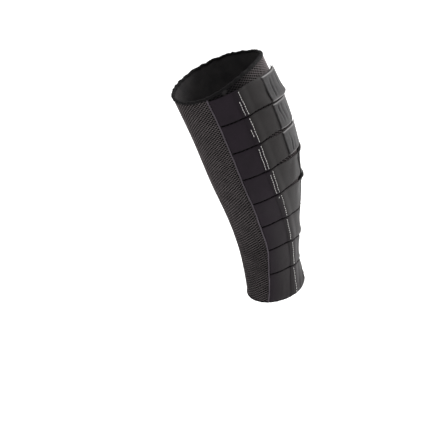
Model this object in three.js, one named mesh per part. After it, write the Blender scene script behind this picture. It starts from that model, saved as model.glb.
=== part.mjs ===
import * as THREE from 'three';

// Adjustable left-hand calf compression wrap in its worn form: a spacer-mesh tube
// with eight straps stacked up its outer side. Millimetres. +Z runs up the tube,
// -Y is its front and +X its outer side. The origin is on the tube's axis at the
// narrow opening. Angles go round the tube from the front towards the outer side.

// Form of the tube, measured outside the mesh
const HEIGHT = 332;
const CALF_WIDTH = 130;
const CALF_DEPTH = 133;
const ANKLE_WIDTH = 76;
const ANKLE_DEPTH = 83;
const OUTWARD_BOW = 12;
const BACKWARD_BOW = 12;

// How much each level tips up towards the outer back, and the extra rise of the rim
const LEVEL_RISE = 9;
const RISE_HEADING = 132;
const RIM_RISE = 11;
const RIM_RISE_HEADING = 88;

// Cloth thicknesses, and the clearance between two layers
const MESH_THICKNESS = 2.4;
const ROOT_THICKNESS = 1.6;
const STRAP_THICKNESS = 1.8;
const TAB_THICKNESS = 1.2;
const LAYER_GAP = 0.32;

// Edge tapes folded over the rim and the hem
const TAPE_THICKNESS = 0.6;
const RIM_TAPE_HEIGHT = 3.4;
const HEM_TAPE_HEIGHT = 2.4;

// Piping along the edge of the strap panel
const PIPING_DIAMETER = 2;

// Straps: how many, how much taller the lowest is, and lengths along the cloth
const STRAP_COUNT = 8;
const HEM_STRAP_EXTRA = 6;
const ROOT_LENGTH = 40;
const SEAM_LAP = 8;
const SEAM_DROP = 6;
const STRAP_REACH = 96;
const TAB_LENGTH = 46;

// Gaps between straps: narrow at the roots, and up to the wide one further round
const NARROW_GAP = 2;
const WIDE_GAP = 5.5;
const WIDEN_LENGTH = 30;

// How far the lines between straps drop on the way round, and how far the free
// corners stand off
const END_DROP = 20;
const DROP_LENGTH = 80;
const TOP_DROP = 0.6;
const CORNER_LIFT = 3;
const LIFT_LENGTH = 34;

// Facet sizes
const RING_FACETS = 44;
const ROW_HEIGHT = 13.5;
const COLUMN_WIDTH = 7.5;
const ROOT_ROWS = 3;
const STRAP_ROWS = 5;
const PIPING_FACETS = 8;
const PIPING_STEPS = 26;

// Sections up the tube. width and depth go from the narrow end's (0) to the wide
// end's (1), outward and backward are shares of the bows, and rise of LEVEL_RISE.
const SECTIONS = [
  { at: 0.0, width: 0.07, depth: 0.04, outward: 0.0, backward: 0.0, rise: -0.3 },
  { at: 0.12, width: 0.0, depth: 0.0, outward: 0.2, backward: 0.12, rise: -0.25 },
  { at: 0.25, width: 0.13, depth: 0.24, outward: 0.62, backward: 0.5, rise: 0.05 },
  { at: 0.4, width: 0.38, depth: 0.58, outward: 0.9, backward: 0.85, rise: 0.3 },
  { at: 0.6, width: 0.82, depth: 0.94, outward: 1.0, backward: 1.0, rise: 0.6 },
  { at: 0.8, width: 0.96, depth: 0.97, outward: 0.74, backward: 0.81, rise: 0.85 },
  { at: 1.0, width: 0.98, depth: 0.88, outward: 0.08, backward: 0.33, rise: 1.0 },
];

// Where the piping lies on the way up, in degrees round the tube
const PIPING_LINE = [
  { at: 0.0, angle: 21.5 },
  { at: 0.12, angle: 33 },
  { at: 0.25, angle: 37 },
  { at: 0.4, angle: 33 },
  { at: 0.6, angle: 26 },
  { at: 0.8, angle: 23.5 },
  { at: 1.0, angle: 23 },
];

// Each strap from the top down. reach is the share of STRAP_REACH at which its tab
// starts, and gap the share of the widening below it. drop is the share of END_DROP
// by which the line below it drops, starting at the share level of ROOT_LENGTH.
// high and low are the shares of CORNER_LIFT at the upper and lower free corners.
const STRAPS = [
  { reach: 0.8, gap: 0.35, drop: 0.64, level: 1.1, high: 0.3, low: 0.9 },
  { reach: 0.79, gap: 1.0, drop: 0.58, level: 1.1, high: 0.4, low: 0.6 },
  { reach: 0.78, gap: 1.0, drop: 0.46, level: 1.1, high: 0.5, low: 0.3 },
  { reach: 0.99, gap: 0.45, drop: 0.47, level: 0.9, high: 0.9, low: 0.3 },
  { reach: 0.97, gap: 0.2, drop: 0.75, level: 0.5, high: 1.0, low: 0.3 },
  { reach: 0.95, gap: 0.15, drop: 1.0, level: 0.5, high: 0.4, low: 0.4 },
  { reach: 0.93, gap: 0.05, drop: 0.7, level: 0.5, high: 0.3, low: 0.2 },
  { reach: 0.92, gap: 0.0, drop: 0.0, level: 0.5, high: 0.2, low: 0.3 },
];

// Materials
const MESH = new THREE.MeshStandardMaterial({ color: 0x2a2827, roughness: 0.95, metalness: 0 });
const TAPE = new THREE.MeshStandardMaterial({ color: 0x1c1a1c, roughness: 0.9, metalness: 0 });
const CORD = new THREE.MeshStandardMaterial({ color: 0x4b444b, roughness: 0.7, metalness: 0 });
const ROOT = new THREE.MeshStandardMaterial({ color: 0x2d272c, roughness: 0.85, metalness: 0 });
const STRAP = new THREE.MeshStandardMaterial({ color: 0x363434, roughness: 0.85, metalness: 0 });
const TAB = new THREE.MeshStandardMaterial({ color: 0x646262, roughness: 0.6, metalness: 0 });

// Smooth curve through one column of a table
function column(table, name, at) {
  let row = 0;
  while (row < table.length - 2 && at > table[row + 1].at) {
    row += 1;
  }
  const low = table[row];
  const high = table[row + 1];
  const before = table[Math.max(row - 1, 0)];
  const after = table[Math.min(row + 2, table.length - 1)];
  const span = high.at - low.at;
  const slopeLow = (high[name] - before[name]) / (high.at - before.at);
  const slopeHigh = (after[name] - low[name]) / (after.at - low.at);
  if (at > high.at) {
    return high[name] + slopeHigh * (at - high.at);
  }
  const t = (at - low.at) / span;
  const rising = t * t * (3 - 2 * t);
  const bend = t * (1 - t) * span * ((1 - t) * slopeLow - t * slopeHigh);
  return low[name] + rising * (high[name] - low[name]) + bend;
}

// Smooth step from 0 to 1 while value goes from start to end
function ease(value, start, end) {
  return THREE.MathUtils.smoothstep(value, start, end);
}

// The ellipse of the tube at a height
function section(height) {
  const at = height / HEIGHT;
  const size = (name, ankle, calf) => ankle + (calf - ankle) * column(SECTIONS, name, at);
  return {
    halfWidth: size('width', ANKLE_WIDTH, CALF_WIDTH) / 2,
    halfDepth: size('depth', ANKLE_DEPTH, CALF_DEPTH) / 2,
    x: OUTWARD_BOW * column(SECTIONS, 'outward', at),
    y: BACKWARD_BOW * column(SECTIONS, 'backward', at),
    rise: LEVEL_RISE * column(SECTIONS, 'rise', at),
  };
}

// The point at an angle and height, so far out from the mesh's outer face
function tubePoint(degrees, height, out) {
  const angle = THREE.MathUtils.degToRad(degrees);
  const form = section(height);
  const across = Math.sin(angle) * form.halfWidth;
  const along = -Math.cos(angle) * form.halfDepth;
  const normal = new THREE.Vector2(across / form.halfWidth ** 2, along / form.halfDepth ** 2);
  normal.normalize().multiplyScalar(out);
  const tip = Math.cos(angle - THREE.MathUtils.degToRad(RISE_HEADING));
  return new THREE.Vector3(
    form.x + across + normal.x,
    form.y + along + normal.y,
    height + form.rise * tip,
  );
}

// The angle reached by going so far round the cloth from another angle
function angleAfter(startDegrees, length, height) {
  const form = section(height);
  const stepDegrees = 0.5;
  const step = THREE.MathUtils.degToRad(stepDegrees);
  let degrees = startDegrees;
  let left = length;
  while (left > 0) {
    const angle = THREE.MathUtils.degToRad(degrees);
    const stepLength = step * Math.hypot(
      form.halfWidth * Math.cos(angle),
      form.halfDepth * Math.sin(angle),
    );
    degrees += stepDegrees * Math.min(1, left / stepLength);
    left -= stepLength;
  }
  return degrees;
}

// The rim stands higher on the outer side
function rimHeight(degrees) {
  const turn = THREE.MathUtils.degToRad(degrees - RIM_RISE_HEADING);
  return HEIGHT + RIM_RISE * Math.max(0, Math.cos(turn)) ** 2;
}

function pipingAngle(height) {
  return column(PIPING_LINE, 'angle', height / HEIGHT);
}

// A ring round the tube, from a closed profile of { up, out } points. The lathe's
// radius carries how far out a point is, from a base that keeps it positive.
const LATHE_BASE = 100;

function ringMesh(name, profile, material, heightOf) {
  const points = profile.map(({ up, out }) => new THREE.Vector2(LATHE_BASE + out, up));
  points.push(points[0].clone());
  const geometry = new THREE.LatheGeometry(points, RING_FACETS);
  const position = geometry.attributes.position;
  for (let i = 0; i < position.count; i += 1) {
    const x = position.getX(i);
    const z = position.getZ(i);
    const degrees = THREE.MathUtils.radToDeg(Math.atan2(x, z));
    const out = Math.hypot(x, z) - LATHE_BASE;
    const point = tubePoint(degrees, heightOf(position.getY(i), degrees), out);
    position.setXYZ(i, point.x, point.y, point.z);
  }
  return namedMesh(name, geometry, material);
}

// Splits each quad of a sheet along its shorter diagonal, so that the facets keep
// close to the round form and sheets laid over each other keep their clearance
const QUAD_CORNER_COUNT = 6;

function splitShorter(geometry) {
  const corners = geometry.index.array;
  const { position } = geometry.attributes;
  const point = (corner) => new THREE.Vector3().fromBufferAttribute(position, corner);
  for (let i = 0; i < corners.length; i += QUAD_CORNER_COUNT) {
    const [a, b, d, , c] = corners.slice(i, i + QUAD_CORNER_COUNT);
    if (point(a).distanceTo(point(c)) < point(b).distanceTo(point(d))) {
      corners.set([a, b, c, a, c, d], i);
    }
  }
}

// A sheet with a thickness: a box whose columns go round the tube, its rows up it
// and its depth outward
function sheetMesh(name, columns, rows, material, place) {
  const geometry = new THREE.BoxGeometry(1, 1, 1, columns, rows, 1);
  const position = geometry.attributes.position;
  for (let i = 0; i < position.count; i += 1) {
    const columnIndex = Math.round((position.getX(i) + 0.5) * columns);
    const up = position.getY(i) + 0.5;
    const outward = position.getZ(i) + 0.5;
    const point = place(columnIndex, up, outward);
    position.setXYZ(i, point.x, point.y, point.z);
  }
  splitShorter(geometry);
  return namedMesh(name, geometry, material);
}

function namedMesh(name, geometry, material) {
  const mesh = new THREE.Mesh(geometry, material);
  mesh.name = name;
  return mesh;
}

// Mesh tube, inside the two tapes
const HEM_START = TAPE_THICKNESS + LAYER_GAP;

function meshBody() {
  const rows = Math.ceil(HEIGHT / ROW_HEIGHT);
  const profile = [];
  for (let row = 0; row <= rows; row += 1) {
    profile.push({ up: row / rows, out: 0 });
  }
  for (let row = rows; row >= 0; row -= 1) {
    profile.push({ up: row / rows, out: -MESH_THICKNESS });
  }
  const heightOf = (share, degrees) => {
    const top = rimHeight(degrees) - TAPE_THICKNESS - LAYER_GAP;
    return THREE.MathUtils.lerp(HEM_START, top, share);
  };
  return ringMesh('mesh_body', profile, MESH, heightOf);
}

// A tape folded over an edge: up is the distance in from the edge
function tapeProfile(tapeHeight) {
  const outside = LAYER_GAP + TAPE_THICKNESS;
  const inside = -MESH_THICKNESS - outside;
  return [
    { up: tapeHeight, out: outside },
    { up: 0, out: outside },
    { up: 0, out: inside },
    { up: tapeHeight, out: inside },
    { up: tapeHeight, out: -MESH_THICKNESS - LAYER_GAP },
    { up: TAPE_THICKNESS, out: -MESH_THICKNESS - LAYER_GAP },
    { up: TAPE_THICKNESS, out: LAYER_GAP },
    { up: tapeHeight, out: LAYER_GAP },
  ];
}

function rimTape() {
  const profile = tapeProfile(RIM_TAPE_HEIGHT).map(({ up, out }) => ({ up: -up, out }));
  return ringMesh('rim_tape', profile, TAPE, (up, degrees) => rimHeight(degrees) + up);
}

function hemTape() {
  const profile = tapeProfile(HEM_TAPE_HEIGHT).reverse();
  return ringMesh('hem_tape', profile, TAPE, (up) => up);
}

// Piping: a round cord from tape to tape, resting on the mesh
function piping() {
  const bottom = HEM_TAPE_HEIGHT + LAYER_GAP;
  const top = rimHeight(pipingAngle(HEIGHT)) - RIM_TAPE_HEIGHT - LAYER_GAP;
  const route = [];
  for (let step = 0; step <= PIPING_STEPS; step += 1) {
    const height = THREE.MathUtils.lerp(bottom, top, step / PIPING_STEPS);
    const out = LAYER_GAP + PIPING_DIAMETER / 2;
    route.push(tubePoint(pipingAngle(height), height, out));
  }
  const round = new THREE.Shape();
  for (let facet = 0; facet < PIPING_FACETS; facet += 1) {
    const angle = (2 * Math.PI * facet) / PIPING_FACETS;
    const x = (PIPING_DIAMETER / 2) * Math.cos(angle);
    const y = (PIPING_DIAMETER / 2) * Math.sin(angle);
    if (facet === 0) {
      round.moveTo(x, y);
    } else {
      round.lineTo(x, y);
    }
  }
  const geometry = new THREE.ExtrudeGeometry(round, {
    steps: PIPING_STEPS,
    extrudePath: new THREE.CatmullRomCurve3(route),
  });
  return namedMesh('piping', geometry, CORD);
}

// Strap levels. The gap below strap i is centred a whole number of pitches down.
const STRAP_PITCH = (HEIGHT - HEM_STRAP_EXTRA) / STRAP_COUNT;
const PIPING_CLEARANCE = PIPING_DIAMETER / 2 + LAYER_GAP;

function strapRow(index) {
  return STRAPS[Math.min(index, STRAPS.length - 1)];
}

// Half the gap under strap i, so far along the cloth from the piping
function halfGap(index, length) {
  const widening = ease(length, ROOT_LENGTH, ROOT_LENGTH + WIDEN_LENGTH);
  return (NARROW_GAP + (WIDE_GAP - NARROW_GAP) * strapRow(index).gap * widening) / 2;
}

// How far the line below strap i has dropped there; above strap 1 it is its own share
function lineDrop(index, length) {
  const { level, drop } = strapRow(Math.max(index, 0));
  const share = index < 0 ? TOP_DROP : drop;
  const start = ROOT_LENGTH * level;
  return END_DROP * share * ease(length, start, start + DROP_LENGTH);
}

function strapBottom(index, length) {
  if (index === STRAP_COUNT - 1) {
    return HEM_TAPE_HEIGHT + LAYER_GAP;
  }
  const line = HEIGHT - (index + 1) * STRAP_PITCH - lineDrop(index, length);
  return line + halfGap(index, length);
}

function strapTop(index, length) {
  if (index === 0) {
    return HEIGHT - RIM_TAPE_HEIGHT - LAYER_GAP - lineDrop(-1, length);
  }
  const line = HEIGHT - index * STRAP_PITCH - lineDrop(index - 1, length);
  return line - halfGap(index - 1, length);
}

function tabStart(index) {
  return STRAP_REACH * strapRow(index).reach;
}

function strapEnd(index) {
  return tabStart(index) + TAB_LENGTH;
}

// A point on strap i: along the cloth from the piping, up its height from 0 to 1,
// and out from the mesh before the seam's step and the corners' lift are added
function strapPoint(index, length, up, out) {
  const row = strapRow(index);
  const low = strapBottom(index, length);
  const high = strapTop(index, length);
  const level = THREE.MathUtils.lerp(low, high, up);
  const degrees = angleAfter(pipingAngle(level), length, level);
  const nearEnd = ease(length, tabStart(index) - LIFT_LENGTH, tabStart(index));
  const corner = row.high * Math.max(0, 2 * up - 1) ** 2 + row.low * Math.max(0, 1 - 2 * up) ** 2;
  return tubePoint(degrees, level, out + CORNER_LIFT * corner * nearEnd);
}

function evenLengths(start, end) {
  const count = Math.max(1, Math.ceil((end - start) / COLUMN_WIDTH));
  const lengths = [];
  for (let i = 0; i <= count; i += 1) {
    lengths.push(THREE.MathUtils.lerp(start, end, i / count));
  }
  return lengths;
}

// Root: the dark panel from the piping to under the seam
function strapRoot(index) {
  const lengths = evenLengths(PIPING_CLEARANCE, ROOT_LENGTH);
  return sheetMesh(`strap_root_${index + 1}`, lengths.length - 1, ROOT_ROWS, ROOT, (i, up, outward) => (
    strapPoint(index, lengths[i], up, LAYER_GAP + ROOT_THICKNESS * outward)
  ));
}

// Strap: sewn over the root's end, then down onto the mesh and round to its free end
function strap(index) {
  const lapStart = ROOT_LENGTH - SEAM_LAP;
  const lapEnd = ROOT_LENGTH + LAYER_GAP;
  const lengths = [
    ...evenLengths(lapStart, lapEnd),
    ...evenLengths(lapEnd + SEAM_DROP, tabStart(index)).slice(0, -1),
    ...evenLengths(tabStart(index), strapEnd(index)),
  ];
  const step = ROOT_THICKNESS + LAYER_GAP;
  return sheetMesh(`strap_${index + 1}`, lengths.length - 1, STRAP_ROWS, STRAP, (i, up, outward) => {
    const overRoot = lengths[i] <= lapEnd ? step : 0;
    return strapPoint(index, lengths[i], up, LAYER_GAP + overRoot + STRAP_THICKNESS * outward);
  });
}

// Tab: the stiff hook patch on top of the free end
function hookTab(index) {
  const lengths = evenLengths(tabStart(index), strapEnd(index));
  const base = LAYER_GAP + STRAP_THICKNESS + LAYER_GAP;
  return sheetMesh(`hook_tab_${index + 1}`, lengths.length - 1, STRAP_ROWS, TAB, (i, up, outward) => (
    strapPoint(index, lengths[i], up, base + TAB_THICKNESS * outward)
  ));
}

const wrap = new THREE.Group();
wrap.add(meshBody(), rimTape(), hemTape(), piping());
for (let index = 0; index < STRAP_COUNT; index += 1) {
  wrap.add(strapRoot(index), strap(index), hookTab(index));
}

export default wrap;
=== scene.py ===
# %% [markdown]
# # A calf compression wrap, dressed over its solid model
# The wrap is a tapering tube of spacer mesh with eight straps stacked up its outer
# side, shown closed. The solids give every piece its place. This lesson gives them
# their cloth: holes, folds, seams, stitches and materials.

# %% Load the solid model
import math

import bpy
import numpy as np
from mathutils import Matrix, Vector


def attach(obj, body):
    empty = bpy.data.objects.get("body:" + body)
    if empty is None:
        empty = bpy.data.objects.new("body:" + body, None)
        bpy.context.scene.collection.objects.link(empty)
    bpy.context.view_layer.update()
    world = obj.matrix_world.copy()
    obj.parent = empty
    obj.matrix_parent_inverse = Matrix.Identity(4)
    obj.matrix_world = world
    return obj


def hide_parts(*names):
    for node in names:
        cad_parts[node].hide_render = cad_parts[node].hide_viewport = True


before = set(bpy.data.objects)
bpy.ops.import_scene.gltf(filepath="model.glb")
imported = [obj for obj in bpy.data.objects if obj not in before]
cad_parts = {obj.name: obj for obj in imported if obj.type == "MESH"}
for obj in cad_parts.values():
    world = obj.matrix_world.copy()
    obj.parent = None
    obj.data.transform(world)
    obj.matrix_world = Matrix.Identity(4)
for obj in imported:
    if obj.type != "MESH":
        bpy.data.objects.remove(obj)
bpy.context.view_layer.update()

# %% [markdown]
# ## Camera
# The wrap is seen from the front of its outer side and from above, by a tilted
# camera, so that the upright tube leans to the left. A camera can be turned by hand
# until the view looks right. Here it is worked out from three angles and one point
# that has to land on one pixel, because each of them can then be corrected alone. A
# long lens from 1.5 m keeps the sides nearly parallel.

# %% Camera
VIEW_SIZE = 440
SENSOR = 36.0
CAMERA_TURN = math.radians(42)
CAMERA_RISE = math.radians(27)
CAMERA_ROLL = math.radians(16)
CAMERA_DISTANCE = 1.5
FOCAL_PIXELS = 1095
AIM = Vector((0.002, 0.0105, 0.165))
AIM_PIXEL = Vector((252.4, 183.7))


def add_to_scene(name, data):
    made = bpy.data.objects.new(name, data)
    bpy.context.scene.collection.objects.link(made)
    return made


def add_camera():
    """Turns the view so that AIM lands on AIM_PIXEL."""
    back = Vector((
        math.sin(CAMERA_TURN) * math.cos(CAMERA_RISE),
        -math.cos(CAMERA_TURN) * math.cos(CAMERA_RISE),
        math.sin(CAMERA_RISE),
    ))
    level_right = Vector((math.cos(CAMERA_TURN), math.sin(CAMERA_TURN), 0))
    level_up = back.cross(level_right)
    right = level_right * math.cos(CAMERA_ROLL) - level_up * math.sin(CAMERA_ROLL)
    up = level_right * math.sin(CAMERA_ROLL) + level_up * math.cos(CAMERA_ROLL)
    off_right = AIM_PIXEL.x - VIEW_SIZE / 2
    off_up = VIEW_SIZE / 2 - AIM_PIXEL.y
    view = (-back * FOCAL_PIXELS - right * off_right - up * off_up).normalized()
    right = (right - view * right.dot(view)).normalized()
    up = right.cross(view)
    camera = add_to_scene("camera", bpy.data.cameras.new("camera"))
    camera.data.sensor_width = SENSOR
    camera.data.lens = SENSOR * FOCAL_PIXELS / VIEW_SIZE
    place = Matrix((right, up, -view)).transposed().to_4x4()
    place.translation = AIM + back * CAMERA_DISTANCE
    camera.matrix_world = place
    bpy.context.scene.camera = camera
    return camera


camera = add_camera()
print("camera at", [round(v, 3) for v in camera.location], "lens", round(camera.data.lens, 1))

# %% [markdown]
# ## The wrap's form
# A closed wrap keeps the form that it was cut for: narrow at the lower end, full
# and bowed at the upper one. The solids follow an ellipse at each height, from a
# short table. Their faces are too coarse to carry cloth, so the same table stands
# here in metres, and every piece is laid on the smooth form that it gives.

# %% Sizes and sections
MM = 0.001
HEIGHT = 332 * MM
CALF_WIDTH = 130 * MM
CALF_DEPTH = 133 * MM
ANKLE_WIDTH = 76 * MM
ANKLE_DEPTH = 83 * MM
OUTWARD_BOW = 12 * MM
BACKWARD_BOW = 12 * MM
LEVEL_RISE = 9 * MM
RISE_HEADING = math.radians(132)
RIM_RISE = 11 * MM
RIM_RISE_HEADING = math.radians(88)

# The table's columns; the first says how far up the row lies
WIDTH, DEPTH, OUTWARD, BACKWARD, RISE = range(1, 6)
SECTIONS = np.array([
    (0.00, 0.07, 0.04, 0.00, 0.00, -0.30),
    (0.12, 0.00, 0.00, 0.20, 0.12, -0.25),
    (0.25, 0.13, 0.24, 0.62, 0.50, 0.05),
    (0.40, 0.38, 0.58, 0.90, 0.85, 0.30),
    (0.60, 0.82, 0.94, 1.00, 1.00, 0.60),
    (0.80, 0.96, 0.97, 0.74, 0.81, 0.85),
    (1.00, 0.98, 0.88, 0.08, 0.33, 1.00),
])
# Degrees round the tube from its front
DEGREES = 1
PIPING_LINE = np.array([
    (0.00, 21.5), (0.12, 33), (0.25, 37), (0.40, 33), (0.60, 26), (0.80, 23.5), (1.00, 23),
])
print("sections:", len(SECTIONS), "points on the piping line:", len(PIPING_LINE))

# %% [markdown]
# ## A smooth curve through a table
# Straight lines between the rows would leave creases round the tube. A curve object
# could smooth them, but it can't be asked for its value at any height. This function
# can: between two rows it bends so that the slopes on both sides of a row agree.

# %% Smooth curve and soft ramp
def smooth_column(table, index, at):
    """The smooth curve through one column of a table, straight past its last row."""
    at = np.asarray(at, float)
    knots, values = table[:, 0], table[:, index]
    slopes = np.empty(len(knots))
    slopes[1:-1] = (values[2:] - values[:-2]) / (knots[2:] - knots[:-2])
    slopes[0] = (values[1] - values[0]) / (knots[1] - knots[0])
    slopes[-1] = (values[-1] - values[-2]) / (knots[-1] - knots[-2])
    row = np.clip(np.searchsorted(knots, at, side="right") - 1, 0, len(knots) - 2)
    span = knots[row + 1] - knots[row]
    t = np.minimum((at - knots[row]) / span, 1)
    rising = t * t * (3 - 2 * t)
    bend = t * (1 - t) * span * ((1 - t) * slopes[row] - t * slopes[row + 1])
    past = np.maximum(at - knots[-1], 0) * slopes[-1]
    return values[row] + rising * (values[row + 1] - values[row]) + bend + past


def ease(value, start, end):
    """A soft ramp from 0 at start to 1 at end."""
    t = np.clip((value - start) / (end - start), 0, 1)
    return t * t * (3 - 2 * t)


halfway = float(smooth_column(SECTIONS, WIDTH, 0.5))
print("halfway up, the width has come", round(halfway, 2), "of the way")

# %% [markdown]
# ## Points on the form
# A strap is measured along its cloth, not in degrees. So one function turns an angle
# and a height into a point on the tube, and another finds the angle that is reached
# by going some millimetres round it. Two short ones say where the piping and the
# upper rim run.

# %% Points on the form
WALK_STEP = math.radians(1)
WALK_END = 1e-9


def half_sizes(height):
    at = height / HEIGHT
    wide = ANKLE_WIDTH + (CALF_WIDTH - ANKLE_WIDTH) * smooth_column(SECTIONS, WIDTH, at)
    deep = ANKLE_DEPTH + (CALF_DEPTH - ANKLE_DEPTH) * smooth_column(SECTIONS, DEPTH, at)
    return wide / 2, deep / 2


def middle(height):
    at = height / HEIGHT
    x = OUTWARD_BOW * smooth_column(SECTIONS, OUTWARD, at)
    y = BACKWARD_BOW * smooth_column(SECTIONS, BACKWARD, at)
    return x, y


def tube_point(angle, height, out):
    """Points at angles (radians) and heights, so far out from the mesh's outer face."""
    wide, deep = half_sizes(height)
    middle_x, middle_y = middle(height)
    x = np.sin(angle) * wide
    y = -np.cos(angle) * deep
    nx, ny = x / wide**2, y / deep**2
    long = np.hypot(nx, ny)
    tilt = LEVEL_RISE * smooth_column(SECTIONS, RISE, height / HEIGHT)
    return np.stack([
        middle_x + x + out * nx / long,
        middle_y + y + out * ny / long,
        height + tilt * np.cos(angle - RISE_HEADING),
    ], axis=-1)


def angle_after(start, length, height):
    """The angle reached by going so far round the cloth, either way."""
    wide, deep = half_sizes(height)
    angle = np.array(start + 0 * length, float)
    left = np.abs(length)
    way = np.sign(length)
    while left.max() > WALK_END:
        reach = WALK_STEP * np.hypot(wide * np.cos(angle), deep * np.sin(angle))
        share = np.minimum(left / reach, 1)
        angle += way * WALK_STEP * share
        left = left - reach * share
    return angle


def piping_angle(height):
    return np.radians(smooth_column(PIPING_LINE, DEGREES, height / HEIGHT))


def rim_height(angle):
    return HEIGHT + RIM_RISE * np.maximum(0, np.cos(angle - RIM_RISE_HEADING)) ** 2


for share in (0.0, 0.5, 0.8):
    wide, deep = half_sizes(np.array(share * HEIGHT))
    print(f"at {share:.1f} of the height: {2000 * wide:.0f} mm wide, {2000 * deep:.0f} mm deep")

# %% [markdown]
# ## Crossing threads
# All of the wrap is dark cloth, so its pieces are told apart by their surface. Under
# a close look each one is made of crossing threads. A picture could show them, but
# two crossed sine waves do it without one and at any scale. They read the piece's own
# flat map in metres, so that they bend with the cloth. As a node group, the effect is
# built once and used in every material with its own pitch.

# %% Node group for threads
CLOTH_MAP = "cloth"


def socket(group, name, way, value=0.0):
    made = group.interface.new_socket(name=name, in_out=way, socket_type="NodeSocketFloat")
    made.default_value = value


def math_node(tree, operation, *values):
    node = tree.nodes.new("ShaderNodeMath")
    node.operation = operation
    for index, value in enumerate(values):
        if isinstance(value, (int, float)):
            node.inputs[index].default_value = value
        else:
            tree.links.new(value, node.inputs[index])
    return node.outputs[0]


def spread(tree, value, start, end):
    """Stretches a value so that start gives 0 and end gives 1."""
    node = tree.nodes.new("ShaderNodeMapRange")
    node.inputs["From Min"].default_value = start
    node.inputs["From Max"].default_value = end
    tree.links.new(value, node.inputs["Value"])
    return node.outputs["Result"]


def weave_group():
    """Crossing threads on the cloth's own map: Pitch is in metres."""
    group = bpy.data.node_groups.new("weave", "ShaderNodeTree")
    socket(group, "Pitch", "INPUT", value=0.0008)
    socket(group, "Slant", "INPUT", value=0.5)
    socket(group, "Height", "OUTPUT")
    enter = group.nodes.new("NodeGroupInput")
    leave = group.nodes.new("NodeGroupOutput")
    cloth = group.nodes.new("ShaderNodeUVMap")
    cloth.uv_map = CLOTH_MAP
    split = group.nodes.new("ShaderNodeSeparateXYZ")
    group.links.new(cloth.outputs[0], split.inputs[0])
    turns = math_node(group, "DIVIDE", 2 * math.pi, enter.outputs["Pitch"])
    u = math_node(group, "MULTIPLY", split.outputs["X"], turns)
    v = math_node(group, "MULTIPLY", split.outputs["Y"], turns)
    lean = math_node(group, "MULTIPLY", u, enter.outputs["Slant"])
    warp = math_node(group, "SINE", math_node(group, "ADD", v, lean))
    weft = math_node(group, "SINE", math_node(group, "SUBTRACT", u, lean))
    crossed = math_node(group, "MULTIPLY", warp, weft)
    height = math_node(group, "MULTIPLY_ADD", crossed, 0.5, 0.5)
    group.links.new(height, leave.inputs["Height"])
    return group


WEAVE = weave_group()
print("group:", WEAVE.name)

# %% [markdown]
# ## Rubbed patches
# Cloth that has been pulled on and rubbed is paler and rougher in soft patches. They
# could be painted by hand. A noise on the object's own coordinates gives them to all
# pieces at once, and its middle values are spread so that the patches have a form.

# %% Node group for rubbed patches
PATCH_START = 0.35
PATCH_END = 0.65
PATCH_DETAIL = 5
PATCH_GRAIN = 0.6


def handling_group():
    """Soft patches where cloth has been pressed and rubbed, from 0 to 1."""
    group = bpy.data.node_groups.new("handling", "ShaderNodeTree")
    socket(group, "Size", "INPUT", value=60)
    socket(group, "Mask", "OUTPUT")
    enter = group.nodes.new("NodeGroupInput")
    leave = group.nodes.new("NodeGroupOutput")
    place = group.nodes.new("ShaderNodeTexCoord")
    cloud = group.nodes.new("ShaderNodeTexNoise")
    cloud.inputs["Detail"].default_value = PATCH_DETAIL
    cloud.inputs["Roughness"].default_value = PATCH_GRAIN
    group.links.new(place.outputs["Object"], cloud.inputs["Vector"])
    group.links.new(enter.outputs["Size"], cloud.inputs["Scale"])
    mask = spread(group, cloud.outputs[0], PATCH_START, PATCH_END)
    group.links.new(mask, leave.inputs["Mask"])
    return group


HANDLING = handling_group()
print("group:", HANDLING.name)

# %% [markdown]
# ## One recipe for every cloth
# Dark cloth is never one colour: its threads catch light and the gaps between them
# don't. A material mixes two close colours by the threads and the patches, and takes
# the threads as a fine bump. What is the same all over, such as shine and sheen, is
# set on the shader itself, where an export can read it.

# %% Cloth material
SHINE = 0.1
THREAD_SHARE = 0.45
PATCH_SHARE = 0.55
PATCH_ROUGHNESS = 0.08
BUMP_STRENGTH = 0.8
SHEEN_ROUGHNESS = 0.4


def use_group(tree, group, **values):
    node = tree.nodes.new("ShaderNodeGroup")
    node.node_tree = group
    for name, value in values.items():
        node.inputs[name].default_value = value
    return node


def mix_colours(tree, mask, dark, light):
    node = tree.nodes.new("ShaderNodeMix")
    node.data_type = "RGBA"
    for name, value in (("A", dark), ("B", light)):
        target = next(s for s in node.inputs if s.name == name and s.type == "RGBA")
        if isinstance(value, tuple):
            target.default_value = (*value, 1)
        else:
            tree.links.new(value, target)
    tree.links.new(mask, node.inputs[0])
    return next(s for s in node.outputs if s.type == "RGBA")


def cloth_material(name, dark, light, pitch, slant, depth, roughness, sheen, patches=60):
    """Woven or knitted cloth between two close colours, with rubbed patches."""
    material = bpy.data.materials.new(name)
    material.use_nodes = True
    tree = material.node_tree
    shader = tree.nodes["Principled BSDF"]
    weave = use_group(tree, WEAVE, Pitch=pitch, Slant=slant)
    patch = use_group(tree, HANDLING, Size=patches)
    worn = math_node(tree, "MULTIPLY", patch.outputs[0], PATCH_SHARE)
    mask = math_node(tree, "MULTIPLY_ADD", weave.outputs[0], THREAD_SHARE, worn)
    tree.links.new(mix_colours(tree, mask, dark, light), shader.inputs["Base Color"])
    rough = math_node(tree, "MULTIPLY_ADD", patch.outputs[0], PATCH_ROUGHNESS, roughness)
    tree.links.new(rough, shader.inputs["Roughness"])
    bump = tree.nodes.new("ShaderNodeBump")
    bump.inputs["Distance"].default_value = depth
    bump.inputs["Strength"].default_value = BUMP_STRENGTH
    tree.links.new(weave.outputs[0], bump.inputs["Height"])
    tree.links.new(bump.outputs[0], shader.inputs["Normal"])
    shader.inputs["Sheen Weight"].default_value = sheen
    shader.inputs["Sheen Roughness"].default_value = SHEEN_ROUGHNESS
    shader.inputs["Specular IOR Level"].default_value = SHINE
    return material


print("cloth materials have a shine of", SHINE)

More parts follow.
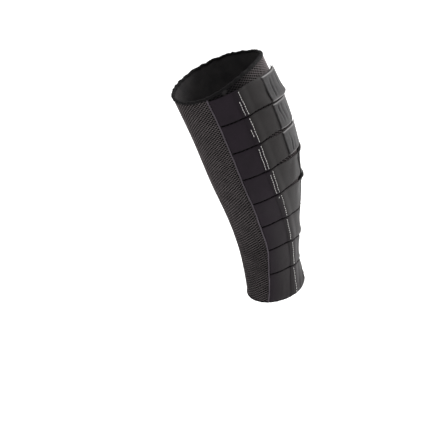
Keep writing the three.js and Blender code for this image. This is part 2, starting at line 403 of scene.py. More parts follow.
# %% [markdown]
# ## Tints by place
# Some colours belong to a place on the piece: painted shade in the bottom of a hole and
# in a crease, a painted highlight along an edge. A painted map could hold them. A point attribute
# is used, because code
# can work it out from the shape, and it stays with the mesh.

# %% Tints by place
def tint_by_attribute(material, attribute, colour, start=0.0, end=1.0):
    """Moves the colour towards another as a point attribute goes from start to end."""
    tree = material.node_tree
    shader = tree.nodes["Principled BSDF"]
    was = shader.inputs["Base Color"].links[0].from_socket
    place = tree.nodes.new("ShaderNodeAttribute")
    place.attribute_name = attribute
    mask = spread(tree, place.outputs["Fac"], start, end)
    tree.links.new(mix_colours(tree, mask, was, colour), shader.inputs["Base Color"])


def corner_points(mesh):
    """The number of the point at each corner of every face."""
    corners = np.empty(len(mesh.loops), int)
    mesh.loops.foreach_get("vertex_index", corners)
    return corners


def mark_points(piece, attribute, value_of):
    """Gives every point a value worked out from its place on the flat cloth."""
    mesh = piece.data
    cloth = np.empty(len(mesh.loops) * 2)
    mesh.uv_layers[0].data.foreach_get("uv", cloth)
    value = np.zeros(len(mesh.vertices))
    value[corner_points(mesh)] = value_of(cloth.reshape(-1, 2))
    mesh.attributes.new(attribute, "FLOAT", "POINT").data.foreach_set("value", value)


print("tints follow point attributes")

# %% [markdown]
# ## Making and finishing a piece
# Cloth is soft over its face and crisp where it was cut. Smooth shading by angle
# gives both: faces that meet at less than the angle blend, and the others keep their
# edge. Normals made consistent make sure that every face points outwards.

# %% Make, finish and face outwards
SOFT_DEGREES = 40
ROUND_DEGREES = 60
TAPE_DEGREES = 70


def mesh_piece(name, points, faces, cloth):
    """A new piece, with the flat map's place for each corner of its faces."""
    mesh = bpy.data.meshes.new(name)
    mesh.from_pydata(points, [], faces)
    mesh.uv_layers.new(name=CLOTH_MAP).data.foreach_set("uv", cloth)
    return add_to_scene(name, mesh)


def select_only(piece):
    bpy.ops.object.select_all(action="DESELECT")
    piece.select_set(True)
    bpy.context.view_layer.objects.active = piece


def finish_piece(piece, material, soften_degrees=SOFT_DEGREES):
    select_only(piece)
    bpy.ops.object.shade_smooth_by_angle(angle=math.radians(soften_degrees))
    piece.data.materials.clear()
    piece.data.materials.append(material)


def face_outwards(piece):
    select_only(piece)
    bpy.ops.object.mode_set(mode="EDIT")
    bpy.ops.mesh.select_all(action="SELECT")
    bpy.ops.mesh.normals_make_consistent(inside=False)
    bpy.ops.object.mode_set(mode="OBJECT")


print("faces that meet at less than", SOFT_DEGREES, "degrees blend")

# %% [markdown]
# ## Spacer mesh
# Spacer mesh is two knitted faces with air between them. The outer face is a lattice
# of threads round staggered diamond holes. Bump alone would look printed on, so each
# hole is modelled: four walls that slope down from the threads, and a floor. A hole
# nearly keeps its size all the way down, so a row has far fewer of them at the narrow
# end, where the cloth is less stretched and they are a little wider.

# %% Rows of holes
HOLE_HALF_WIDTH = 2.7 * MM
HOLE_HALF_HEIGHT = 1.85 * MM
ANKLE_EASE = 1.27
EASE_START = 0.25 * HEIGHT
EASE_END = 0.65 * HEIGHT


def hole_half_width(height):
    eased = ease(height, EASE_START, EASE_END)
    return HOLE_HALF_WIDTH * (ANKLE_EASE + (1 - ANKLE_EASE) * eased)


ROWS = int((HEIGHT + RIM_RISE) / HOLE_HALF_HEIGHT) + 2
print("rows of holes:", ROWS)

# %% [markdown]
# ## Painted shade under the roots
# Where the straps are sewn on, the mesh is darkened with painted shade. It shows as
# darker ground above the top strap and in the gaps, and thins out towards the free
# ends. It is a tint on the mesh, not a piece of its own.

# %% Painted gap shade and thread colours
THREAD_DARK = (0.105, 0.091, 0.093)
THREAD_LIGHT = (0.21, 0.185, 0.187)
# where the painted shade near the strap roots lies, and its colour
GAP_SHADE_WIDTH = 92 * MM
GAP_SHADE_FULL = 30 * MM
GAP_SHADE_EDGE = 2 * MM
GAP_SHADE_COLOUR = (0.018, 0.0155, 0.017)
# colour of the painted shade in the holes
HOLE_SHADE_COLOUR = (0.001, 0.001, 0.001)
THREAD_EDGE = 0.12
HOLE_EDGE = 0.55


def shade_near_roots(points):
    """1 where painted shade darkens the mesh near the roots, 0 on the open mesh."""
    height = points[:, 2]
    wide, deep = half_sizes(height)
    middle_x, middle_y = middle(height)
    x = (points[:, 0] - middle_x) / wide
    y = (points[:, 1] - middle_y) / deep
    round_by = (np.arctan2(x, -y) - piping_angle(height)) * (wide + deep) / 2
    far_edge = ease(round_by, GAP_SHADE_FULL, GAP_SHADE_WIDTH)
    return ease(round_by, 0, GAP_SHADE_EDGE) * (1 - far_edge)


mesh_cloth = cloth_material(
    "spacer mesh", THREAD_DARK, THREAD_LIGHT,
    pitch=0.6 * MM, slant=0.3, depth=0.12 * MM, roughness=0.8, sheen=0.01,
)
# painted shade near the strap roots: in the narrow gaps and above the top strap
tint_by_attribute(mesh_cloth, "gap_shade", GAP_SHADE_COLOUR)
# painted shade in the holes, darkest on their floors
tint_by_attribute(mesh_cloth, "hole_shade", HOLE_SHADE_COLOUR, THREAD_EDGE, HOLE_EDGE)
# the width of the painted shade near the roots
print("painted_gap_shade:", round(GAP_SHADE_WIDTH / MM), "mm wide")

# %% [markdown]
# ## Outer face of the mesh
# The lattice has one point wherever threads cross. Thousands of holes would be slow
# to inset one by one with operators, so all of them are laid out as one array of
# points and faces. The lattice's loose ends meet under the strap roots, where the
# real tube is sewn. The holes carry painted shade, darkest on their floors, and
# towards the narrow end the painted shade starts nearer the threads.

# %% Outer face of the spacer mesh
HOLE_FLOOR = 0.6
HOLE_DEPTH = 0.9 * MM
# how much further the painted hole shade reaches towards the narrow end
LOW_HOLE_SHADE = 0.4
LOW_SHADE_FULL = 60 * MM
LOW_SHADE_END = 150 * MM
LATTICE_START = math.radians(-30)
LATTICE_OVERLAP = 24 * MM
EDGE_COVER = 1.2 * MM
STEPS_ROUND_HOLE = ((1, 0), (0, 1), (-1, 0), (0, -1))


def lattice_place(column_at, row_at, out):
    """The angles and points of lattice places, so far out from the outer face."""
    height = row_at * HOLE_HALF_HEIGHT
    angle = angle_after(LATTICE_START, column_at * hole_half_width(height), height)
    return angle, tube_point(angle, height, out)


def kept_points(angle, height):
    """The lattice runs once round the tube, from seam to seam, and ends at the rim."""
    seam = angle_after(piping_angle(height), LATTICE_OVERLAP + 0 * height, height)
    once = (angle < seam) & (angle > seam - 2 * math.pi)
    return once & (height < rim_height(angle) - EDGE_COVER)


def spacer_face():
    rows = np.arange(1, ROWS)
    reach = int(math.pi * CALF_DEPTH / HOLE_HALF_WIDTH)
    columns = np.arange(-reach, reach)
    column, row = np.meshgrid(columns, rows, indexing="ij")
    angle, points = lattice_place(column * 1.0, row * 1.0, 0.0)
    kept = kept_points(angle, row * HOLE_HALF_HEIGHT)
    knot = (column + row) % 2 == 0
    number = np.cumsum((kept & knot).ravel()).reshape(kept.shape) - 1
    inner = np.zeros_like(kept)
    inner[1:-1, 1:-1] = kept[2:, 1:-1] & kept[:-2, 1:-1] & kept[1:-1, 2:] & kept[1:-1, :-2]
    at_column, at_row = np.nonzero(inner & ~knot)
    c, r = columns[at_column].astype(float), rows[at_row].astype(float)
    floor_columns = np.stack([c + HOLE_FLOOR * dc for dc, dr in STEPS_ROUND_HOLE], axis=1).ravel()
    floor_rows = np.stack([r + HOLE_FLOOR * dr for dc, dr in STEPS_ROUND_HOLE], axis=1).ravel()
    corners = points[kept & knot]
    floors = lattice_place(floor_columns, floor_rows, -HOLE_DEPTH)[1]
    outer = np.stack([number[at_column + dc, at_row + dr] for dc, dr in STEPS_ROUND_HOLE], axis=1)
    floor = len(corners) + np.arange(4 * len(c)).reshape(-1, 4)
    walls = [
        np.stack([outer[:, k], outer[:, (k + 1) % 4], floor[:, (k + 1) % 4], floor[:, k]], axis=1)
        for k in range(4)
    ]
    faces = np.concatenate([*walls, floor])
    everywhere = np.concatenate([corners, floors])
    flat_columns = np.concatenate([column[kept & knot], floor_columns]) * HOLE_HALF_WIDTH
    flat_rows = np.concatenate([row[kept & knot], floor_rows]) * HOLE_HALF_HEIGHT
    cloth = np.stack([flat_columns, flat_rows], axis=1)[faces.ravel()]
    piece = mesh_piece("spacer_face", everywhere.tolist(), faces.tolist(), cloth.ravel())
    # painted hole shade: 0 at the threads, 1 or more on the floors, more towards the narrow end
    hole_shade_by = 1 + LOW_HOLE_SHADE * (1 - ease(floors[:, 2], LOW_SHADE_FULL, LOW_SHADE_END))
    depth = np.concatenate([np.zeros(len(corners)), hole_shade_by])
    # two masks of painted shade: in the holes, and near the strap roots
    for name, value in (("hole_shade", depth), ("gap_shade", shade_near_roots(everywhere))):
        made = piece.data.attributes.new(name, "FLOAT", "POINT")
        made.data.foreach_set("value", value)
    finish_piece(piece, mesh_cloth, ROUND_DEGREES)
    return piece, len(c)


spacer_face_piece, hole_count = spacer_face()
triangle_count = sum(len(p.vertices) - 2 for p in spacer_face_piece.data.polygons)
print("holes:", hole_count, "triangles:", triangle_count)

# %% [markdown]
# ## Rings round the tube
# The mesh's inner face and the two edge tapes all close round the tube. Spin turns a
# profile round an axis, but this tube isn't round, so a helper sweeps the profile in
# code. A little noise makes a sewn edge wander, as a hand-fed one does.

# %% Ring of cloth
RIPPLES = 32
RIPPLE_SEED = 5
RIPPLE_OUT = 1 / 3
MEAN_RADIUS = 55 * MM


def noise(x, y, seed):
    """A smooth, repeatable roughness between about -1 and 1, made of a few waves."""
    phase = 1.7 * seed
    return (
        np.sin(x * 1.0 + 1.3 * np.sin(0.7 * y + phase))
        + 0.6 * np.sin(1.9 * y + 0.8 * x + 2 * phase)
        + 0.4 * np.sin(3.1 * x - 1.7 * y + 3 * phase)
    ) / 2


def ring_of_cloth(name, profile, columns, height_of, ripple=0.0):
    """A closed ring round the tube from a closed profile of (up, out) points."""
    turn = np.linspace(0, 2 * math.pi, columns, endpoint=False)
    count = len(profile)
    up = np.array([p[0] for p in profile])
    out = np.array([p[1] for p in profile])
    angle = np.repeat(turn, count)
    ups, outs = np.tile(up, columns), np.tile(out, columns)
    wobble = ripple * noise(RIPPLES * np.cos(angle), RIPPLES * np.sin(angle), RIPPLE_SEED)
    points = tube_point(angle, height_of(ups, angle) + wobble, outs + RIPPLE_OUT * wobble)
    faces = []
    for column in range(columns):
        here, there = column * count, (column + 1) % columns * count
        for k in range(count):
            after = (k + 1) % count
            faces.append((here + k, there + k, there + after, here + after))
    around = 2 * math.pi * MEAN_RADIUS
    along = np.concatenate([[0], np.cumsum(np.hypot(np.diff(up), np.diff(out)))])
    flat_map = []
    for column in range(columns):
        for k in range(count):
            low = along[k]
            high = low + math.hypot(up[(k + 1) % count] - up[k], out[(k + 1) % count] - out[k])
            left, right = around * column / columns, around * (column + 1) / columns
            flat_map += [left, low, right, low, right, high, left, high]
    return mesh_piece(name, points.tolist(), faces, flat_map)


print("noise at the origin:", round(float(noise(0.0, 0.0, RIPPLE_SEED)), 3))

# %% [markdown]
# ## Inner face of the mesh
# Through the open top the inside shows: a closed, finely knitted face. It is a plain
# shell with its own thickness, and its ribs come from the threads in its material,
# which nothing crosses at a silhouette.

# %% Inner face of the spacer mesh
TAPE_THICKNESS = 0.6 * MM
LAYER_GAP = 0.32 * MM
MESH_THICKNESS = 2.4 * MM
LINING_ROWS = 70
LINING_COLUMNS = 120
LINING_THICKNESS = 1.4 * MM

lining_cloth = cloth_material(
    "lining knit", (0.012, 0.011, 0.012), (0.03, 0.028, 0.028),
    pitch=1.6 * MM, slant=0.5, depth=0.2 * MM, roughness=0.8, sheen=0.03,
)


def lining():
    shares = np.linspace(0, 1, LINING_ROWS)
    inside = -MESH_THICKNESS
    outside = inside + LINING_THICKNESS
    profile = [(s, outside) for s in shares] + [(s, inside) for s in shares[::-1]]
    start = TAPE_THICKNESS + LAYER_GAP

    def height_of(share, angle):
        return start + share * (rim_height(angle) - 2 * start)

    piece = ring_of_cloth("mesh_lining", profile, LINING_COLUMNS, height_of)
    finish_piece(piece, lining_cloth)
    return piece


lining_piece = lining()
print("lining faces:", len(lining_piece.data.polygons))

# %% [markdown]
# ## Edge tapes
# A narrow stretch tape is folded over the rim and the hem. A bevelled strip would
# look like a metal band, so the profile has a round crown and thin lips, and the
# whole tape ripples a little, more on the rim, where the cloth is wider.

# %% Edge tapes
RIM_TAPE_HEIGHT = 3.4 * MM
HEM_TAPE_HEIGHT = 2.4 * MM
TAPE_COLUMNS = 300
TAPE_RIPPLE = 0.9 * MM
CROWN_HEIGHT = 1.3 * MM
CROWN_POINTS = 9
LIP_STEP = 0.3 * MM
LIP_RISE = 0.1 * MM
FOLD_DEPTH = 0.5 * MM

tape_cloth = cloth_material(
    "edge tape", (0.002, 0.0018, 0.002), (0.0065, 0.0058, 0.0062),
    pitch=0.7 * MM, slant=0.0, depth=0.15 * MM, roughness=0.8, sheen=0.01,
)


def folded_tape(tape_height):
    """The tape's profile with round shoulders; up is measured in from the edge."""
    outside = LAYER_GAP + TAPE_THICKNESS
    inside = -MESH_THICKNESS - outside
    centre = (outside + inside) / 2
    half = (outside - inside) / 2
    crown = [
        (CROWN_HEIGHT * (1 - math.sin(t)), centre + half * math.cos(t))
        for t in np.linspace(0, math.pi, CROWN_POINTS)
    ]
    lip_out = [(tape_height, LAYER_GAP + LIP_RISE), (tape_height - LIP_STEP, outside)]
    lip_in = [
        (tape_height - LIP_STEP, inside),
        (tape_height, -MESH_THICKNESS - LAYER_GAP - LIP_RISE),
        (TAPE_THICKNESS + FOLD_DEPTH, -MESH_THICKNESS - LAYER_GAP),
        (TAPE_THICKNESS + FOLD_DEPTH, LAYER_GAP),
    ]
    return lip_out + crown + lip_in


def edge_tapes():
    rim_profile = [(-up, out) for up, out in folded_tape(RIM_TAPE_HEIGHT)]
    rim = ring_of_cloth(
        "rim_tape_cloth", rim_profile[::-1], TAPE_COLUMNS,
        lambda up, angle: rim_height(angle) + up, TAPE_RIPPLE,
    )
    hem = ring_of_cloth(
        "hem_tape_cloth", folded_tape(HEM_TAPE_HEIGHT), TAPE_COLUMNS,
        lambda up, angle: up, TAPE_RIPPLE / 2,
    )
    for piece in (rim, hem):
        face_outwards(piece)
        finish_piece(piece, tape_cloth, TAPE_DEGREES)
    return rim, hem


rim_piece, hem_piece = edge_tapes()
print("tape faces:", len(rim_piece.data.polygons), len(hem_piece.data.polygons))

# %% [markdown]
# ## Piping
# The piping is a thin covered cord, sewn in where the mesh panel meets the straps. A
# bevelled curve gives such a cord quickly, but its turn about itself is hard to hold.
# Rings of points round a centre line keep it upright, with a thread map of its own.

# %% Piping
PIPING_DIAMETER = 2 * MM
PIPING_SIDES = 12
PIPING_STEPS = 160
PIPING_WANDER = 0.6 * MM
WANDERS = 90
WELL_OUTSIDE = 10 * PIPING_DIAMETER

piping_cloth = cloth_material(
    "piping cloth", (0.042, 0.035, 0.042), (0.075, 0.063, 0.075),
    pitch=0.8 * MM, slant=0.6, depth=0.1 * MM, roughness=0.5, sheen=0.05,
)


def piping_rings():
    """The piping's heights and centres, and the two directions across it."""
    bottom = HEM_TAPE_HEIGHT + LAYER_GAP
    top = rim_height(piping_angle(np.array(HEIGHT))) - RIM_TAPE_HEIGHT - LAYER_GAP
    height = np.linspace(bottom, float(top), PIPING_STEPS)
    wander = PIPING_WANDER * noise(height * WANDERS, 0 * height, 2)
    angle = angle_after(piping_angle(height), wander, height)
    centre = tube_point(angle, height, PIPING_DIAMETER / 2 + LAYER_GAP)
    outward = tube_point(angle, height, WELL_OUTSIDE) - centre
    outward /= np.linalg.norm(outward, axis=1)[:, None]
    along = np.gradient(centre, axis=0)
    along /= np.linalg.norm(along, axis=1)[:, None]
    return height, centre, np.cross(along, outward), outward


def piping():
    height, centre, side, outward = piping_rings()
    points, faces, cloth = [], [], []
    for i in range(PIPING_STEPS):
        for k in range(PIPING_SIDES):
            t = 2 * math.pi * k / PIPING_SIDES
            across = math.cos(t) * side[i] + math.sin(t) * outward[i]
            points.append((centre[i] + PIPING_DIAMETER / 2 * across).tolist())
    for i in range(PIPING_STEPS - 1):
        for k in range(PIPING_SIDES):
            a, b = i * PIPING_SIDES + k, i * PIPING_SIDES + (k + 1) % PIPING_SIDES
            faces.append((a, b, b + PIPING_SIDES, a + PIPING_SIDES))
            left, right = k * PIPING_DIAMETER / 4, (k + 1) * PIPING_DIAMETER / 4
            low, high = height[i], height[i + 1]
            cloth += [left, low, right, low, right, high, left, high]
    for end in (0, PIPING_STEPS - 1):
        loop = [end * PIPING_SIDES + k for k in range(PIPING_SIDES)]
        faces.append(loop if end else loop[::-1])
        cloth += [0.0, 0.0] * PIPING_SIDES
    piece = mesh_piece("piping_cord", points, faces, cloth)
    face_outwards(piece)
    finish_piece(piece, piping_cloth, ROUND_DEGREES)
    return piece


piping_piece = piping()
print("piping faces:", len(piping_piece.data.polygons))

# %% [markdown]
# ## Straps
# Each strap is cut from foam-backed laminate in two lengths: a dark root that starts
# at the piping, and the strap itself, lapped over the root and sewn down. Their sizes
# repeat those of the solids. The table gives each strap what sets it apart, as shares
# of the named sizes: its reach, its gaps, and how its end lifts.

# %% Strap sizes
STRAP_COUNT = 8
HEM_STRAP_EXTRA = 6 * MM
ROOT_LENGTH = 40 * MM
SEAM_LAP = 8 * MM
SEAM_DROP = 12 * MM
STRAP_REACH = 96 * MM
TAB_LENGTH = 46 * MM
ROOT_THICKNESS = 1.6 * MM
STRAP_THICKNESS = 1.8 * MM
TAB_THICKNESS = 1.2 * MM
NARROW_GAP = 2 * MM
WIDE_GAP = 5.5 * MM
WIDEN_LENGTH = 30 * MM
END_DROP = 20 * MM
TOP_DROP = 0.6
DROP_LENGTH = 80 * MM
STRAP_PITCH = (HEIGHT - HEM_STRAP_EXTRA) / STRAP_COUNT
LAP_START = ROOT_LENGTH - SEAM_LAP

# The table's columns are shares of the sizes above, and its rows go from the top down
REACH, GAP, DROP, LEVEL, HIGH, LOW, STIFF, WAVES, CLOSE = range(9)
STRAPS = np.array([
    (0.80, 0.35, 0.64, 1.10, 0.0, 0.9, 0.45, 0.5, 0.5),
    (0.79, 1.00, 0.58, 1.10, 0.2, 0.0, 0.10, 0.4, 1.0),
    (0.78, 1.00, 0.46, 1.10, 0.2, 0.2, 0.15, 0.4, 0.0),
    (0.99, 0.45, 0.47, 0.90, 0.9, 0.3, 0.30, 0.6, 0.0),
    (0.97, 0.20, 0.75, 0.50, 1.5, 0.3, 0.30, 0.7, 0.0),
    (0.95, 0.15, 1.00, 0.50, 0.4, 1.6, 0.30, 0.8, 0.0),
    (0.93, 0.05, 0.70, 0.50, 0.3, 1.0, 0.30, 0.8, 0.0),
    (0.92, 0.00, 0.00, 0.50, 0.2, 0.3, 0.30, 1.0, 0.0),
])
print("strap pitch:", round(STRAP_PITCH / MM, 2), "mm")

# %% [markdown]
# ## Edges of a strap
# Neighbouring straps share the line between them: the gap is narrow over the roots,
# widens where the mesh shows, and sinks towards the free ends. Written once, as the
# line below a strap, it gives both of its neighbours and they can't cut each other.

# %% Edges of a strap
CLOSE_BEFORE = 12 * MM
CLOSE_AFTER = 14 * MM


def tab_start(strap):
    return STRAP_REACH * STRAPS[strap, REACH]


def strap_end(strap):
    return tab_start(strap) + TAB_LENGTH


def half_gap(strap, length):
    widening = ease(length, ROOT_LENGTH, ROOT_LENGTH + WIDEN_LENGTH)
    tab = tab_start(strap)
    closing = 1 - STRAPS[strap, CLOSE] * ease(length, tab - CLOSE_BEFORE, tab + CLOSE_AFTER)
    return (NARROW_GAP + (WIDE_GAP - NARROW_GAP) * STRAPS[strap, GAP] * widening * closing) / 2


def drop_below(strap, length):
    """How far the line below a strap has dropped, so far along from the piping."""
    start = ROOT_LENGTH * STRAPS[strap, LEVEL]
    return END_DROP * STRAPS[strap, DROP] * ease(length, start, start + DROP_LENGTH)


def strap_edges(strap, length):
    """The levels of a strap's low and high edge, so far along from the piping."""
    low = HEM_TAPE_HEIGHT + LAYER_GAP + 0 * length
    if strap < STRAP_COUNT - 1:
        line = HEIGHT - (strap + 1) * STRAP_PITCH - drop_below(strap, length)
        low = line + half_gap(strap, length)
    start = ROOT_LENGTH * STRAPS[0, LEVEL]
    top_drop = END_DROP * TOP_DROP * ease(length, start, start + DROP_LENGTH)
    high = HEIGHT - RIM_TAPE_HEIGHT - LAYER_GAP - top_drop
    if strap > 0:
        line = HEIGHT - strap * STRAP_PITCH - drop_below(strap - 1, length)
        high = line - half_gap(strap - 1, length)
    return low, high


def edge_distance(strap, length, up, start, end=math.inf):
    """How far a place is from the edges of cloth that runs from start to end."""
    low, high = strap_edges(strap, length)
    side = np.minimum(up, 1 - up) * (high - low)
    return np.minimum(side, np.minimum(length - start, end - length))


lengths = [round((strap_end(strap) - LAP_START) / MM) for strap in range(STRAP_COUNT)]
print("strap lengths:", lengths, "mm")

# %% [markdown]
# ## Points on a strap
# A stiff strap bent round a tube doesn't lie flat to its very end: the tab springs
# off a little and its corners curl. Cloth simulation would leave this to chance, so
# the lift is a soft ramp towards the end, stronger at the corners. The laminate's
# edges are sealed, which gives a round shoulder and a shallow groove beside it.

# %% Points on a strap
CORNER_LIFT = 3 * MM
HIGH_CURL = 5
LOW_CURL = 2
LIFT_LENGTH = 34 * MM
STIFF_LIFT = 5 * MM
STIFF_START = 8 * MM
SHOULDER_DROP = 0.45 * MM
SHOULDER_WIDTH = 1.8 * MM
GROOVE_DEPTH = 0.15 * MM
GROOVE_PLACE = 2.9 * MM
GROOVE_WIDTH = 0.7 * MM


def strap_point(strap, length, up, out, inset=0.0):
    """A point on a strap, so far along it from the piping and up its width."""
    low, high = strap_edges(strap, length)
    low, high = low + inset, high - inset
    level = low + (high - low) * up
    angle = angle_after(piping_angle(level), length, level)
    near_end = ease(length, tab_start(strap) - LIFT_LENGTH, tab_start(strap))
    high_corner = STRAPS[strap, HIGH] * np.maximum(0, 2 * up - 1) ** HIGH_CURL
    low_corner = STRAPS[strap, LOW] * np.maximum(0, 1 - 2 * up) ** LOW_CURL
    lift = CORNER_LIFT * (high_corner + low_corner) * near_end
    stiff = STRAPS[strap, STIFF] * ease(length, tab_start(strap) + STIFF_START, strap_end(strap))
    return tube_point(angle, level, out + lift + STIFF_LIFT * stiff)


def seal(distance):
    """How far the face drops by a sealed edge: a round shoulder, then a groove."""
    shoulder = SHOULDER_DROP * (1 - ease(distance, 0, SHOULDER_WIDTH))
    groove = GROOVE_DEPTH * np.exp(-(((distance - GROOVE_PLACE) / GROOVE_WIDTH) ** 2))
    return shoulder + groove


print("an edge drops by", round(float(seal(0.0)) / MM, 2), "mm")

# %% [markdown]
# ## A bent slab of cloth
# Every strap piece starts as a flat grid primitive, is extruded to a slab in edit
# mode, and is then bent round the tube point by point. The Simple Deform modifier
# bends too, but only round an even axis. The slab keeps a flat map in metres, so that
# a weave has its real size, and a bevel rounds its cut edges.

# %% Bent slab
BEVEL_SEGMENTS = 2
BEVEL_DEGREES = 50


def bent_slab(name, columns, rows, flat, place, rounding):
    """A slab of cloth: place(across, up, outward) gives its points, each from 0 to 1."""
    bpy.ops.object.select_all(action="DESELECT")
    bpy.ops.mesh.primitive_grid_add(
        x_subdivisions=columns, y_subdivisions=rows, size=1, location=(0.5, 0.5, 1),
    )
    piece = bpy.context.object
    piece.name = piece.data.name = name
    bpy.ops.object.transform_apply(location=True)
    bpy.ops.object.mode_set(mode="EDIT")
    bpy.ops.mesh.select_all(action="SELECT")
    bpy.ops.mesh.extrude_region_move(TRANSFORM_OT_translate={"value": (0, 0, -1)})
    bpy.ops.mesh.select_all(action="SELECT")
    bpy.ops.mesh.normals_make_consistent(inside=False)
    bpy.ops.object.mode_set(mode="OBJECT")
    mesh = piece.data
    points = np.empty(len(mesh.vertices) * 3)
    mesh.vertices.foreach_get("co", points)
    unit = points.reshape(-1, 3)
    mesh.uv_layers[0].name = CLOTH_MAP
    cloth = unit[corner_points(mesh), :2] * np.array(flat)
    mesh.uv_layers[0].data.foreach_set("uv", cloth.ravel())
    bent = place(unit[:, 0], unit[:, 1], unit[:, 2])
    mesh.vertices.foreach_set("co", np.ascontiguousarray(bent).ravel())
    bevel = piece.modifiers.new("rounded edge", "BEVEL")
    bevel.width = rounding
    bevel.segments = BEVEL_SEGMENTS
    bevel.limit_method = "ANGLE"
    bevel.angle_limit = math.radians(BEVEL_DEGREES)
    bpy.ops.object.modifier_apply(modifier=bevel.name)
    mesh.update()
    return piece


print("a slab's edge is rounded with", BEVEL_SEGMENTS, "segments")

# %% [markdown]
# ## Paler lower roots and folds
# The lower roots are paler, least beside the piping, and the lowest strap is
# gathered in soft upright folds over the narrow end. Both are small functions of the
# place on the strap, because the root and the strap have to agree where they meet.

# %% Paler lower roots and folds
PALE_START = 0.4
HEM_FOLD = 0.9 * MM
HEM_FOLD_PITCH = 2.6 * MM
FOLD_LOW = 0.1
FOLD_HIGH = 0.8


# how much paler a strap's root is, more on the lower straps
def paleness(strap):
    return float(ease(strap / (STRAP_COUNT - 1), PALE_START, 1))


def hem_fold(strap, length, up):
    if strap < STRAP_COUNT - 1:
        return 0 * length
    fold = np.maximum(0, np.sin(length / HEM_FOLD_PITCH)) ** 2
    return HEM_FOLD * fold * (1 - ease(up, FOLD_LOW, FOLD_HIGH))


print("faded share of each root:", [round(paleness(strap), 2) for strap in range(STRAP_COUNT)])

# %% [markdown]
# ## Strap roots
# A root is the smooth, dark first length of a strap. It is stretched over the mesh,
# so it is nearly flat, with a faint swell where the foam is slack. A plane would look
# dead here: the swell and the sealed edge are what catch the light.

# %% Strap roots
ROOT_COLUMNS = 48
ROOT_ROWS = 40
ROOT_SWELL = 0.3 * MM
ROOT_SWELL_LENGTH = 9 * MM
ROOT_SWELLS_UP = 4
FREE_WIDTH = 6 * MM
ROOT_FOLD_END = 16 * MM
ROOT_FOLD_FADE = 26 * MM
ROOT_ROUNDING = 0.4 * MM
ROOT_DARK = (0.0083, 0.0057, 0.0083)
ROOT_LIGHT = (0.0138, 0.0095, 0.0138)
# the paler colour of the lower roots
ROOT_PALER = (0.0205, 0.0182, 0.0192)
PIPING_PALE = 0.15
PIPING_PALE_END = 20 * MM

root_cloth = cloth_material(
    "strap root laminate", ROOT_DARK, ROOT_LIGHT,
    pitch=0.7 * MM, slant=0.35, depth=0.05 * MM, roughness=0.62, sheen=0.02,
)
# paler towards the lower straps, least beside the piping
tint_by_attribute(root_cloth, "paler", ROOT_PALER)


def strap_root(strap):
    start = PIPING_DIAMETER / 2 + LAYER_GAP

    def place(across, up, outward):
        length = start + across * (ROOT_LENGTH - start)
        edge = edge_distance(strap, length, up, start)
        free = ease(edge, 0, FREE_WIDTH)
        swell = ROOT_SWELL * noise(length / ROOT_SWELL_LENGTH, up * ROOT_SWELLS_UP, strap)
        near_piping = 1 - ease(length, ROOT_FOLD_END, ROOT_FOLD_FADE)
        fold = hem_fold(strap, length, up) * near_piping
        face = ROOT_THICKNESS - seal(edge) + (swell + fold) * free
        return strap_point(strap, length, up, LAYER_GAP + face * outward)

    def paler(cloth):
        beyond = ease(cloth[:, 0], 0, PIPING_PALE_END)
        return paleness(strap) * (PIPING_PALE + (1 - PIPING_PALE) * beyond)

    flat = (ROOT_LENGTH - start, STRAP_PITCH - NARROW_GAP)
    name = f"strap_root_cloth_{strap + 1}"
    piece = bent_slab(name, ROOT_COLUMNS, ROOT_ROWS, flat, place, ROOT_ROUNDING)
    mark_points(piece, "paler", paler)
    finish_piece(piece, root_cloth)
    return piece, flat


root_pieces = [strap_root(strap) for strap in range(STRAP_COUNT)]
print("root faces:", len(root_pieces[0][0].data.polygons))

# %% [markdown]
# ## How a strap lies
# A strap starts on top of its root and steps down onto the mesh past the root's end.
# The stitches press two lines into it, and beyond them it swells in soft waves, more
# towards the free end. These heights are added up before the slab is bent, so no
# modifier has to be stacked.

# %% How a strap lies
STITCH_ROWS = (2.2 * MM, 6.2 * MM)
STITCH_PRESS = 0.3 * MM
PRESS_WIDTH = 0.8 * MM
PUCKERS = 10
PUCKER_SHARE = 0.5
SWELL = 1.0 * MM
SWELL_LENGTH = 11 * MM
SWELLS_UP = 3
SWELL_DIP = 0.3
SWELL_START = 8 * MM
SWELL_FULL = 24 * MM
SWELL_REST = 0.4
SWELL_GROWTH = (55 * MM, 75 * MM)


def strap_face(strap, length, up, edge):
    """How far the strap's outer face stands off, with its seam and its swell."""
    across_seam = [(length - LAP_START - row) / PRESS_WIDTH for row in STITCH_ROWS]
    pressed = sum(np.exp(-(across**2)) for across in across_seam)
    pucker = 1 + PUCKER_SHARE * np.sin(up * 2 * math.pi * PUCKERS)
    wave = noise(length / SWELL_LENGTH, up * SWELLS_UP + 2 * strap, strap + 3)
    free = ease(edge, 0, FREE_WIDTH) * ease(length, LAP_START + SWELL_START, LAP_START + SWELL_FULL)
    height = SWELL * STRAPS[strap, WAVES] * (SWELL_REST + ease(length, *SWELL_GROWTH))
    swell = height * np.maximum(wave, -SWELL_DIP) * free
    return STRAP_THICKNESS - STITCH_PRESS * pressed * pucker + swell


def strap_base(length):
    """The strap lies on its root at first, then steps down onto the mesh."""
    over_root = 1 - ease(length, ROOT_LENGTH + LAYER_GAP, ROOT_LENGTH + SEAM_DROP)
    return LAYER_GAP + (ROOT_THICKNESS + LAYER_GAP) * over_root


print("a strap starts", round(float(strap_base(LAP_START)) / MM, 2), "mm off the mesh")

# %% [markdown]
# ## Straps
# The strap's first edge is feathered thin, as laminate is skived before it is sewn,
# so that the lap shows as a fine line and not as a step. As far as the outer row of
# stitches it keeps the root's dark colour, and on the lower straps the paler tint runs
# on and thins out.

